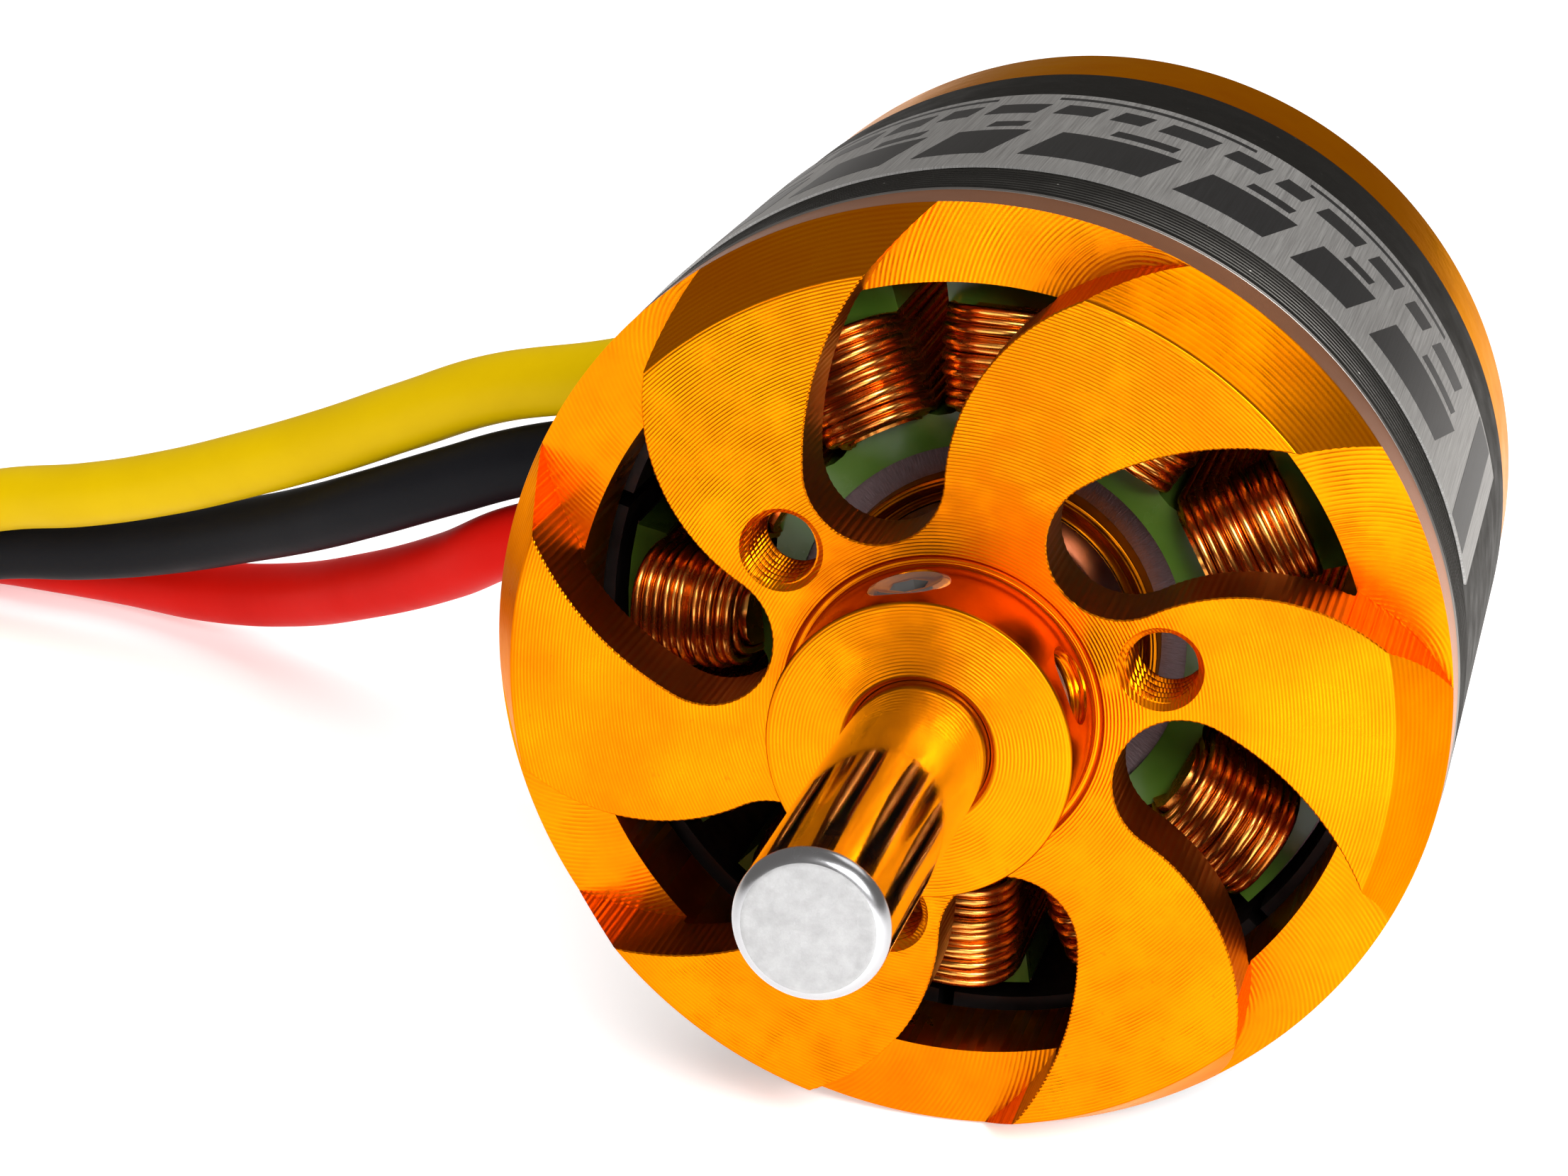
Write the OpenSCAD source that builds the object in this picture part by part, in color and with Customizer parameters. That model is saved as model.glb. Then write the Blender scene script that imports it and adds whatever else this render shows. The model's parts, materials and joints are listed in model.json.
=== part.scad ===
// Brushless outrunner motor lying on its side.
// Frame: the shaft axis is the Y axis and the shaft points to -Y. The rear
// mounting face lies in the plane y = 0, centred on the origin, +Z is up.
// Every turned part is drawn along a local +Z that starts at the rear face
// and runs to the shaft end; stand() lays that axis onto -Y.

/* [Overall] */
// Distance from the rear mounting face to the front face of the bell
face_z = 37.5; // [36.5:0.1:39]
// Radius of the widest part of the black can
can_r = 17.5; // [17.4:0.05:17.6]

/* [Shaft and hub] */
// Radius of the steel shaft
shaft_r = 2.5; // [2.45:0.01:2.5]
// Distance that the shaft stands out of the front face
shaft_out = 19.75; // [16:0.05:24]
// Radius of the hub collar on the front face
hub_r = 5.36; // [5.2:0.02:5.6]
// Height of the hub collar above the front face
hub_h = 4.03; // [3.8:0.01:5]
// Height of the grub screws above the front face
grub_h = 1.6; // [1.6:0.01:2.2]

/* [Front bell] */
// Depth of the cone and of the six pockets below the front face
pocket_d = 3.67; // [3.5:0.01:3.9]
// Thickness of the front disc
disc_t = 3.0; // [2.6:0.1:3.2]
// Radius of the flat front face
face_r = 15.83; // [15.6:0.01:16]
// Angle of the first pocket
pocket_a = 46.5; // [0:0.5:60]
// Diameter of the circle of the propeller-side M3 holes
front_pcd = 16; // [15.8:0.1:16.2]

/* [Can and ring] */
// Depth where the black can starts
can_front_d = 5.75; // [5.6:0.01:5.9]
// Depth where the black can meets the rear ring
can_rear_d = 28.4; // [28:0.1:29]
// Depth of the rear edge of the rear ring
ring_rear_d = 33.6; // [33:0.1:34]

/* [Rear mount] */
// Diameter of the circle of the rear M3 holes
rear_pcd = 19; // [18:0.5:20]
// Thickness of the rear plate
base_t = 3.6; // [3.4:0.1:3.6]
// Radius of the rear plate
base_r = 15.4; // [15:0.1:15.5]

/* [Windings] */
// Number of teeth on the core
teeth = 12; // [12]
// Number of magnets in the can
poles = 14; // [14]

/* [Leads] */
// Diameter of a silicone lead
lead_d = 3.2; // [3:0.1:3.2]

/* [Hidden] */

$fn = 96;
slip = 0.01;                              // gap between pieces pressed together
m3_core_r = 1.25;                         // core radius of an M3 thread

// Bell, can and ring
cone_z = face_z - pocket_d;
cavity_z = face_z - disc_t;
can_front_z = face_z - can_front_d;
can_rear_z = face_z - can_rear_d;
ring_rear_z = face_z - ring_rear_d;
spigot_z = can_front_z - 1.85;
rim_r = can_r - 0.05;
can_bore_r = can_r - 1.1;
cup_r = 14.6;
boss_r = 4.2;
boss_z = face_z - 6.8;

// Pocket outline: a round inner end and two arcs that sweep to the rim
pocket_end = [8.85, 0];
pocket_end_r = 2.5;
long_arc = 10.84 * [cos(-51.1), sin(-51.1)];
short_arc = 11.05 * [cos(-59.1), sin(-59.1)];
long_r = norm(pocket_end - long_arc) + pocket_end_r;
short_r = norm(pocket_end - short_arc) - pocket_end_r;

// Core and magnets
core_front_z = face_z - 8.6;
core_h = 15;
core_rear_z = core_front_z - core_h - 0.4;
end_plate_t = 0.4;
core_r = 14;
tooth_a = 26.8;
tooth_w = 2.6;
magnet_front_z = face_z - 8.1;
magnet_rear_z = face_z - 26.2;

// Bearing tube and bearings
tube_r = 6.4;
tube_front_z = face_z - 8;
bearing_r = 5.5;
bearing_w = 5;
front_bearing_z = face_z - 13.2;
rear_bearing_z = 2.4;
ball_r = 0.9;
ball_path_r = 3.95;
balls = 7;

// Leads: hand-laid routes, exit side first
lead_r = lead_d / 2;
YELLOW = [[-10, -6, 3.4], [-11.8, -4.3, 3.3], [-14, -2.4, 3.1], [-16.5, -1.8, 2.8], [-19.2, -1.8, 2.4],
          [-22.8, -1.9, 1.6], [-28.4, -0.7, 0.3], [-33.2, 0.9, -1.7], [-37.9, 2.7, -3.8],
          [-42.9, 4.5, -5.8], [-47.9, 6.3, -7.6], [-53.1, 8.1, -9.1], [-58.5, 10, -10.3],
          [-64.8, 10.9, -12], [-71, 10, -14], [-78, 8, -15.4], [-85, 5.5, -15.3]];
BLACK = [[-10, -6, 0], [-11.8, -4.3, -0.1], [-14, -2.4, -0.4], [-16.5, -1.8, -0.8], [-19.2, -1.8, -1.2],
         [-23, -1.9, -1.9], [-27.1, -1.4, -2.9], [-30.9, -0.2, -4.4], [-35.7, 2, -6.5],
         [-39.8, 4.4, -8.3], [-44, 6.8, -9.9], [-49.4, 9.3, -11.7], [-54.7, 11.2, -13],
         [-60.1, 12.8, -13.9], [-66, 13.8, -15.2], [-72, 14.4, -15.9], [-79, 15, -15.5],
         [-85, 15.4, -15.3]];
RED = [[-10, -6, -3.4], [-11.8, -4.3, -3.5], [-14, -2.4, -3.8], [-16.5, -1.8, -4.2], [-19.2, -1.8, -4.6],
       [-23, -1.9, -5.4], [-27.2, -1.3, -6.6], [-31.5, 1.2, -9], [-37.1, 5.2, -11.7], [-43, 9.4, -14],
       [-48.8, 12.8, -15.3], [-54.4, 15.2, -15.6], [-60.5, 16.6, -15.6], [-65.5, 18.4, -15.9],
       [-71.5, 21.2, -15.5], [-77, 24.2, -15.3]];

function unit(v) = v / norm(v);
function arc_points(c, r, a0, a1, n) =
    [for (i = [0:n]) c + r * [cos(a0 + (a1 - a0) * i / n), sin(a0 + (a1 - a0) * i / n)]];
function bearing_angle(v) = atan2(v[1], v[0]);
// Angle on an arc where it reaches the radius rho from the motor axis
function reach_angle(c, r, rho) =
    bearing_angle(c) + acos((rho * rho - c * c - r * r) / (2 * norm(c) * r));

module stand() {
    rotate([90, 0, 0]) children();
}

module tube(r_out, r_in, z0, z1) {
    translate([0, 0, z0]) difference() {
        cylinder(r = r_out, h = z1 - z0);
        translate([0, 0, -1]) cylinder(r = r_in, h = z1 - z0 + 2);
    }
}

// ---- Still parts --------------------------------------------------------

module motor_base() {
    notch_r = 9.4;
    notch_w = 12;
    color([0.85, 0.62, 0.2]) stand() difference() {
        union() {
            cylinder(r = base_r, h = base_t);
            translate([0, 0, base_t]) cylinder(r = tube_r + 1.6, h = 1.6);
            cylinder(r = tube_r, h = tube_front_z);
        }
        // bearing seats at both ends and the bore between them
        translate([0, 0, -1]) cylinder(r = bearing_r + slip, h = rear_bearing_z + bearing_w + 1);
        translate([0, 0, front_bearing_z]) cylinder(r = bearing_r + slip, h = 20);
        cylinder(r = bearing_r - 0.9, h = tube_front_z);
        for (a = [45:90:315])
            rotate(a) translate([rear_pcd / 2, 0, -1]) cylinder(r = m3_core_r, h = base_t + 4);
        // lead notch
        translate([-base_r - 2, -notch_w / 2, -1]) cube([base_r + 2 - notch_r, notch_w, base_t + 2]);
        for (a = [-90, 0, 90]) rotate(a) vent(base_t);
    }
}

// Curved cooling slot through the rear plate
module vent(depth) {
    vent_r = 12.4;
    vent_w = 2.2;
    for (a = [-24:4:24])
        rotate(a) translate([vent_r, 0, -1]) cylinder(r = vent_w / 2, h = depth + 2, $fn = 24);
}

// Outline of the laminations between two heights, from radius r_in outwards
module core_slice(r_in, z0, z1, trim) {
    tip_in_r = 12.75;
    tip_a = 10.7;
    far = core_r * 1.3;
    translate([0, 0, z0]) for (k = [0:teeth - 1]) rotate(tooth_a + k * 360 / teeth)
        intersection() {
            difference() {
                cylinder(r = core_r - trim, h = z1 - z0);
                translate([0, 0, -1]) cylinder(r = r_in, h = z1 - z0 + 2);
            }
            union() {
                translate([0, -tooth_w / 2 + trim, -1]) cube([far, tooth_w - 2 * trim, z1 - z0 + 2]);
                difference() {
                    linear_extrude(z1 - z0) polygon([[0, 0], far * [cos(tip_a), -sin(tip_a)],
                                                     far * [cos(tip_a), sin(tip_a)]]);
                    translate([0, 0, -1]) cylinder(r = tip_in_r, h = z1 - z0 + 2);
                }
            }
        }
}

module stator_core() {
    color([0.45, 0.45, 0.47]) stand() union() {
        tube(7.62, tube_r + slip, core_rear_z, core_front_z - end_plate_t);
        core_slice(7.5, core_rear_z, core_front_z - end_plate_t, 0);
    }
}

module end_plate(z0) {
    stand() union() {
        tube(7.62, 7.39, z0, z0 + end_plate_t);
        core_slice(7.5, z0, z0 + end_plate_t, 0.02);
    }
}

module insulation_front() {
    color([0.16, 0.3, 0.12]) end_plate(core_front_z - end_plate_t);
}

module insulation_rear() {
    color([0.16, 0.3, 0.12]) end_plate(core_rear_z - end_plate_t);
}

// One coil: a rounded block round the neck of a tooth
module coil() {
    coil_front_z = face_z - 4.6;
    coil_rear_z = core_rear_z - 4;
    coil_in_x = 7.8;
    coil_out_x = 12.35;
    corner = 1.9;
    half_w = 2.9;
    clear = 0.05;
    difference() {
        intersection() {
            translate([0, 0, coil_rear_z]) linear_extrude(coil_front_z - coil_rear_z)
                polygon([[coil_in_x, -2], [coil_out_x, -half_w], [coil_out_x, half_w], [coil_in_x, 2]]);
            union() {
                translate([coil_in_x - 1, -half_w, coil_rear_z + corner])
                    cube([6.5, 2 * half_w, coil_front_z - coil_rear_z - 2 * corner]);
                translate([coil_in_x - 1, -half_w + corner, coil_rear_z])
                    cube([6.5, 2 * (half_w - corner), coil_front_z - coil_rear_z]);
                for (y = [-1, 1], z = [coil_rear_z + corner, coil_front_z - corner])
                    translate([coil_in_x - 1, y * (half_w - corner), z])
                        rotate([0, 90, 0]) cylinder(r = corner, h = 6.5, $fn = 48);
            }
        }
        translate([coil_in_x - 1, -tooth_w / 2 - clear, core_rear_z - end_plate_t - clear])
            cube([6.5, tooth_w + 2 * clear, core_h + 2 * end_plate_t + 2 * clear]);
    }
}

// Four coils of one phase, on opposite pairs of neighbouring teeth
module winding(first) {
    step = 360 / teeth;
    color([0.72, 0.36, 0.16]) stand() for (k = [0, 1, 6, 7])
        rotate(tooth_a + (first + k) * step) coil();
}

module winding_a() { winding(0); }
module winding_b() { winding(2); }
module winding_c() { winding(4); }

// Insulated splices that join the winding ends to the leads
module solder_sleeves() {
    sleeve_l = 2.2;
    color([0.1, 0.1, 0.1]) for (route = [YELLOW, BLACK, RED]) {
        back = unit(route[0] - route[1]);
        translate(route[0]) rotate([0, acos(back[2]), bearing_angle(back)])
            cylinder(r = lead_r + 0.05, h = sleeve_l);
    }
}

// ---- Ball bearings ------------------------------------------------------

module race(r_out, r_in, z0) {
    color([0.75, 0.76, 0.78]) stand() translate([0, 0, z0]) rotate_extrude()
        difference() {
            translate([r_in, 0]) square([r_out - r_in, bearing_w]);
            translate([ball_path_r, bearing_w / 2]) circle(r = ball_r + 0.03, $fn = 48);
        }
}

module ball_ring(z0) {
    color([0.85, 0.86, 0.88]) stand() for (k = [0:balls - 1])
        rotate(k * 360 / balls) translate([ball_path_r, 0, z0 + bearing_w / 2]) sphere(r = ball_r, $fn = 32);
}

// Brass ring with a round window for each ball
module cage(z0) {
    color([0.62, 0.5, 0.25]) stand() difference() {
        tube(ball_path_r + 0.22, ball_path_r - 0.22, z0 + bearing_w / 2 - 1.15, z0 + bearing_w / 2 + 1.15);
        for (k = [0:balls - 1])
            rotate(k * 360 / balls) translate([ball_path_r - 1, 0, z0 + bearing_w / 2])
                rotate([0, 90, 0]) cylinder(r = ball_r + 0.05, h = 2);
    }
}

module shields(z0) {
    shield_t = 0.2;
    color([0.6, 0.61, 0.63]) stand() for (z = [z0 + 0.1, z0 + bearing_w - 0.1 - shield_t])
        tube(4.62, 3.35, z, z + shield_t);
}

module front_outer_race() { race(bearing_r, 4.65, front_bearing_z); }
module front_inner_race() { race(3.25, shaft_r + slip, front_bearing_z); }
module front_balls() { ball_ring(front_bearing_z); }
module front_cage() { cage(front_bearing_z); }
module front_shields() { shields(front_bearing_z); }
module rear_outer_race() { race(bearing_r, 4.65, rear_bearing_z); }
module rear_inner_race() { race(3.25, shaft_r + slip, rear_bearing_z); }
module rear_balls() { ball_ring(rear_bearing_z); }
module rear_cage() { cage(rear_bearing_z); }
module rear_shields() { shields(rear_bearing_z); }

// ---- Turning parts ------------------------------------------------------

module pocket() {
    beyond = can_r + 0.8;
    outline = concat(
        arc_points(long_arc, long_r, reach_angle(long_arc, long_r, beyond),
                   bearing_angle(pocket_end - long_arc), 22),
        arc_points(pocket_end, pocket_end_r, bearing_angle(pocket_end - long_arc) + 12,
                   bearing_angle(pocket_end - short_arc) + 168, 14),
        arc_points(short_arc, short_r, bearing_angle(pocket_end - short_arc),
                   reach_angle(short_arc, short_r, beyond), 22));
    translate([0, 0, cone_z]) linear_extrude(pocket_d + 1) polygon(outline);
}

module front_bell() {
    edge = 0.2;
    step_r = hub_r + 0.39;
    step_d = 0.15;
    chamfer = 0.25;
    color([0.98, 0.64, 0.1]) stand() difference() {
        rotate_extrude($fn = 180) polygon([
            [shaft_r + slip, boss_z], [boss_r, boss_z], [boss_r, cavity_z], [cup_r, cavity_z],
            [cup_r, spigot_z], [can_bore_r - slip, spigot_z], [can_bore_r - slip, can_front_z],
            [rim_r, can_front_z], [rim_r, cone_z], [face_r, face_z - edge], [face_r - edge, face_z],
            [step_r, face_z], [step_r, face_z - step_d], [hub_r, face_z - step_d],
            [hub_r, face_z + hub_h - chamfer], [hub_r - chamfer, face_z + hub_h],
            [shaft_r + chamfer, face_z + hub_h], [shaft_r + slip, face_z + hub_h - chamfer]]);
        for (k = [0:5]) rotate(pocket_a + 60 * k) pocket();
        for (k = [0:2]) rotate(pocket_a - 30.2 + 120 * k)
            translate([front_pcd / 2, 0, cavity_z - 1]) cylinder(r = m3_core_r, h = disc_t + 2);
        for (a = GRUB_ANGLES) rotate(a) translate([shaft_r, 0, face_z + grub_h]) rotate([0, 90, 0])
            cylinder(r = 1.5, h = hub_r);
    }
}

GRUB_ANGLES = [99.5, 21.5];

module grub_screws() {
    screw_l = [2.7, 2.1];
    socket_r = 0.75;
    color([0.55, 0.55, 0.57]) stand() for (k = [0, 1])
        rotate(GRUB_ANGLES[k]) translate([shaft_r + slip, 0, face_z + grub_h]) rotate([0, 90, 0])
            difference() {
                cylinder(r = 1.49, h = screw_l[k]);
                translate([0, 0, screw_l[k] - 1.2]) rotate(30) cylinder(r = socket_r, h = 2, $fn = 6);
            }
}

module shaft() {
    rear_z = 0.5;
    nose = 0.8;
    flat_r = 1.76;
    top_z = face_z + shaft_out;
    clip_z = 1.5;
    relief_z = face_z + hub_h;
    relief_w = 0.6;
    color([0.8, 0.81, 0.84]) stand() rotate_extrude() polygon(concat(
        [[0, rear_z], [shaft_r - 0.3, rear_z], [shaft_r, rear_z + 0.3],
         [shaft_r, clip_z], [shaft_r - 0.5, clip_z], [shaft_r - 0.5, clip_z + 0.5], [shaft_r, clip_z + 0.5],
         [shaft_r, relief_z - relief_w], [shaft_r - 0.2, relief_z - relief_w], [shaft_r - 0.2, relief_z],
         [shaft_r, relief_z + 0.05]],
        [for (a = [0:11.25:90]) [flat_r + (shaft_r - flat_r) * cos(a), top_z - nose + nose * sin(a)]],
        [[0, top_z]]));
}

module thrust_washers() {
    washer_r = 3.3;
    color([0.7, 0.7, 0.72]) stand() union() {
        tube(washer_r, shaft_r + 0.03, front_bearing_z + bearing_w, boss_z);
        tube(washer_r, shaft_r + 0.03, 2.05, rear_bearing_z);
    }
}

module e_clip() {
    clip_t = 0.45;
    color([0.3, 0.3, 0.31]) stand() translate([0, 0, 1.52]) difference() {
        cylinder(r = 3.6, h = clip_t);
        translate([0, 0, -1]) cylinder(r = shaft_r - 0.5 + slip, h = clip_t + 2);
        translate([0, -1.6, -1]) cube([5, 3.2, clip_t + 2]);
        for (a = [120, 240]) rotate(a) translate([3.0, 0, -1]) cylinder(r = 0.8, h = clip_t + 2, $fn = 32);
    }
}

module flux_can() {
    grooves = 8;
    pitch = 0.37;
    groove_w = 0.17;
    groove_d = 0.1;
    color([0.1, 0.1, 0.11]) stand() difference() {
        tube(can_r, can_bore_r, can_rear_z, can_front_z);
        for (i = [0:grooves - 1])
            tube(can_r + 1, can_r - groove_d, can_front_z - 0.5 - i * pitch - groove_w,
                 can_front_z - 0.5 - i * pitch);
    }
}

module rear_ring() {
    ring_r = can_r - 0.1;
    ring_bore_r = 15.7;
    chamfer = 0.25;
    color([0.95, 0.66, 0.2]) stand() rotate_extrude($fn = 180) polygon([
        [ring_bore_r, ring_rear_z], [ring_r - chamfer, ring_rear_z], [ring_r, ring_rear_z + chamfer],
        [ring_r, can_rear_z - chamfer], [ring_r - chamfer, can_rear_z], [can_bore_r - slip, can_rear_z],
        [can_bore_r - slip, can_rear_z + 1.8], [ring_bore_r, can_rear_z + 1.8]]);
}

module magnets() {
    gap_w = 0.6;
    color([0.72, 0.73, 0.75]) stand() difference() {
        tube(can_bore_r - slip, 14.3, magnet_rear_z, magnet_front_z);
        for (k = [0:poles - 1]) rotate((k + 0.3) * 360 / poles)
            translate([13, -gap_w / 2, magnet_rear_z - 1])
                cube([5, gap_w, magnet_front_z - magnet_rear_z + 2]);
    }
}

// Foil label, open over a sector on the right-hand side
module label_band() {
    label_t = 0.1;
    start_a = 10.4;
    end_a = 292;
    far = 3 * can_r;
    color([0.6, 0.6, 0.58]) stand() difference() {
        tube(can_r + slip + label_t, can_r + slip, face_z - 23.3, face_z - 9.25);
        translate([0, 0, face_z - 24]) linear_extrude(16)
            polygon([[0, 0], far * [cos(end_a), sin(end_a)], far * [cos(end_a / 2 + start_a / 2 + 180),
                     sin(end_a / 2 + start_a / 2 + 180)], far * [cos(start_a), sin(start_a)]]);
    }
}

// ---- Leads --------------------------------------------------------------

function tangent(p, i) = unit(p[min(i + 1, len(p) - 1)] - p[max(i - 1, 0)]);

module swept_lead(route) {
    sides = 8;
    n = len(route);
    points = [for (i = [0:n - 1])
        let (t = tangent(route, i), side = unit(cross(t, [0, 0, 1])), top = cross(side, t))
        for (k = [0:sides - 1])
            let (a = 360 * (k + 0.5) / sides)
                route[i] + lead_r * (cos(a) * side + sin(a) * top)];
    skin = [for (i = [0:n - 2], k = [0:sides - 1])
        let (a = i * sides + k, b = i * sides + (k + 1) % sides)
        [a, b, b + sides, a + sides]];
    caps = [[for (k = [sides - 1:-1:0]) k], [for (k = [0:sides - 1]) (n - 1) * sides + k]];
    polyhedron(points = points, faces = concat(skin, caps));
}

module lead_yellow() { color([0.95, 0.85, 0.1]) swept_lead(YELLOW); }
module lead_black() { color([0.08, 0.08, 0.08]) swept_lead(BLACK); }
module lead_red() { color([0.85, 0.08, 0.08]) swept_lead(RED); }

// Places a child at the far end of a lead, +Z along the lead
module at_far_end(route) {
    n = len(route);
    t = unit(route[n - 1] - route[n - 2]);
    translate(route[n - 1]) rotate([0, acos(t[2]), bearing_angle(t)]) children();
}

module heatshrink(route) {
    at_far_end(route) difference() {
        cylinder(r = 2.2, h = 9);
        translate([0, 0, 1]) cylinder(r = 1.95, h = 10);
    }
}

module bullet(route) {
    at_far_end(route) translate([0, 0, 1.1]) union() {
        cylinder(r = 1.93, h = 8.9);
        cylinder(r = 1.2, h = 11);
        translate([0, 0, 10]) cylinder(r = 1.75, h = 9);
        translate([0, 0, 19]) cylinder(r1 = 1.75, r2 = 0.9, h = 1.4);
    }
}

module heatshrink_yellow() { color([0.9, 0.8, 0.1]) heatshrink(YELLOW); }
module heatshrink_black() { color([0.1, 0.1, 0.1]) heatshrink(BLACK); }
module heatshrink_red() { color([0.8, 0.1, 0.1]) heatshrink(RED); }
module bullet_yellow() { color([0.9, 0.75, 0.3]) bullet(YELLOW); }
module bullet_black() { color([0.9, 0.75, 0.3]) bullet(BLACK); }
module bullet_red() { color([0.9, 0.75, 0.3]) bullet(RED); }

motor_base();
stator_core();
insulation_front();
insulation_rear();
winding_a();
winding_b();
winding_c();
front_outer_race();
front_inner_race();
front_balls();
front_cage();
front_shields();
rear_outer_race();
rear_inner_race();
rear_balls();
rear_cage();
rear_shields();
front_bell();
shaft();
flux_can();
rear_ring();
magnets();
grub_screws();
label_band();
thrust_washers();
e_clip();
solder_sleeves();
lead_yellow();
lead_black();
lead_red();
heatshrink_yellow();
heatshrink_black();
heatshrink_red();
bullet_yellow();
bullet_black();
bullet_red();
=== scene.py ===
import json
import math
import random

import bmesh
import bpy
from mathutils import Matrix, Vector


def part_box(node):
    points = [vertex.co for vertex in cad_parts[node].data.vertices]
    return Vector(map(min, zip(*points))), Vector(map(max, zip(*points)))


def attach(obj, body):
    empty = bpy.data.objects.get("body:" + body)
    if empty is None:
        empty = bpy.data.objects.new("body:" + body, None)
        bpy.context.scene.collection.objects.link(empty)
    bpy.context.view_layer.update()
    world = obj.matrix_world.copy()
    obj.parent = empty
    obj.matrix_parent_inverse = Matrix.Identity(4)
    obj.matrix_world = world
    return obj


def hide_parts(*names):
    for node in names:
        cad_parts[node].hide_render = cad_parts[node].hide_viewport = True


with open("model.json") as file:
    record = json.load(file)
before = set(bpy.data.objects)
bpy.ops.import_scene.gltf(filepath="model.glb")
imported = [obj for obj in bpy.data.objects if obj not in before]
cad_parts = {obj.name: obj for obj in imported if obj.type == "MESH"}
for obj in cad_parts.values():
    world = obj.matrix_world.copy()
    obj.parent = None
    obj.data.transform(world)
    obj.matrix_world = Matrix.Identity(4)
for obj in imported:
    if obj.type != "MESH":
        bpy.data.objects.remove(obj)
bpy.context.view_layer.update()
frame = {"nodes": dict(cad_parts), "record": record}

# The motor lies on its side: its shaft axis is world Y and the shaft points to -Y.
# Turned pieces are drawn in motor millimetres, (x, y, z) with z from the rear
# mounting face towards the shaft end, and settle() lays them into the world.
MM = 0.001
LAY_DOWN = Matrix.Rotation(math.radians(90), 4, "X") @ Matrix.Scale(MM, 4)


def reach(node):
    """Lowest and highest motor z of a CAD node, in millimetres."""
    low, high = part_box(node)
    return -high.y / MM, -low.y / MM


def half_width(node):
    """Radius of a round CAD node, in millimetres."""
    low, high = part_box(node)
    return (high.x - low.x) / 2 / MM


MOUNTS = {m["name"]: m for m in frame["record"]["mounts"]}

# From the record and the CAD nodes, in motor millimetres
FACE_Z = -MOUNTS["front_bolts"]["pos_m"][1] / MM
HUB_TOP_Z = reach("front_bell")[1]
CAN_R = half_width("flux_can")
CAN_REAR_Z, CAN_FRONT_Z = reach("flux_can")
RIM_R = CAN_R - 0.05
RING_R = half_width("rear_ring")
RING_REAR_Z = reach("rear_ring")[0]
SHAFT_R = MOUNTS["shaft_end"]["dims"]["r_mm"]
SHAFT_REAR_Z, SHAFT_TOP_Z = reach("shaft")
CORE_R = half_width("stator_core")
STACK_REAR_Z, STACK_FRONT_Z = reach("stator_core")
STACK_MIDDLE_Z = (STACK_FRONT_Z + STACK_REAR_Z) / 2
BASE_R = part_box("motor_base")[1].x / MM
TUBE_FRONT_Z = reach("motor_base")[1]

# The lowest line of the motor, in world metres
FLOOR_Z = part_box("label_band")[0].z

# Sizes within the nodes, in motor millimetres
HUB_R = 5.36
GROOVE_R = 5.97
FACE_R = 15.83
DISC_T = 3.0
POCKET_D = 3.67
POCKET_FLOOR_Z = FACE_Z - POCKET_D - 0.02
CUP_R = 14.6
SPIGOT_R = 16.39
GRUB_Z = FACE_Z + 1.6
TUBE_R = 6.4
TUBE_BORE_R = 5.51
M3_R = 1.5
M3_PITCH = 0.5
M3_THREAD = 0.26
TEETH = 12

# Where features stand about the shaft axis, in degrees from +X
TOOTH_A = 26.8
POCKET_A = 46.5
FRONT_TAP_A = POCKET_A - 30.2
GRUB_ANGLES = (99.5, 21.5)


# ---- Camera, floor and light -------------------------------------------------

def camera():
    """The photograph's view."""
    data = bpy.data.cameras.new("camera")
    data.lens = 87.26
    data.sensor_width = 36.0
    data.clip_start = 0.005
    data.clip_end = 20
    cam = bpy.data.objects.new("camera", data)
    azimuth, elevation = 14.02, 18.06
    cam.rotation_euler = (math.radians(90 - elevation), 0, math.radians(azimuth))
    face_centre = Vector((0, -FACE_Z, 0))
    cam.location = (face_centre + Vector((25.0, -122.85, 45.44))) * MM
    bpy.context.scene.collection.objects.link(cam)
    bpy.context.scene.camera = cam


def area_light(name, place, aim, size, power, in_reflections=True):
    """A square lamp aimed at a point. One that is not in reflections lights dull surfaces only."""
    data = bpy.data.lights.new(name, "AREA")
    data.shape = "RECTANGLE"
    data.size = data.size_y = size
    data.energy = power
    lamp = bpy.data.objects.new(name, data)
    lamp.location = place
    lamp.rotation_euler = (Vector(aim) - Vector(place)).to_track_quat("-Z", "Y").to_euler()
    lamp.visible_camera = False
    lamp.visible_glossy = in_reflections
    bpy.context.scene.collection.objects.link(lamp)


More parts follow.
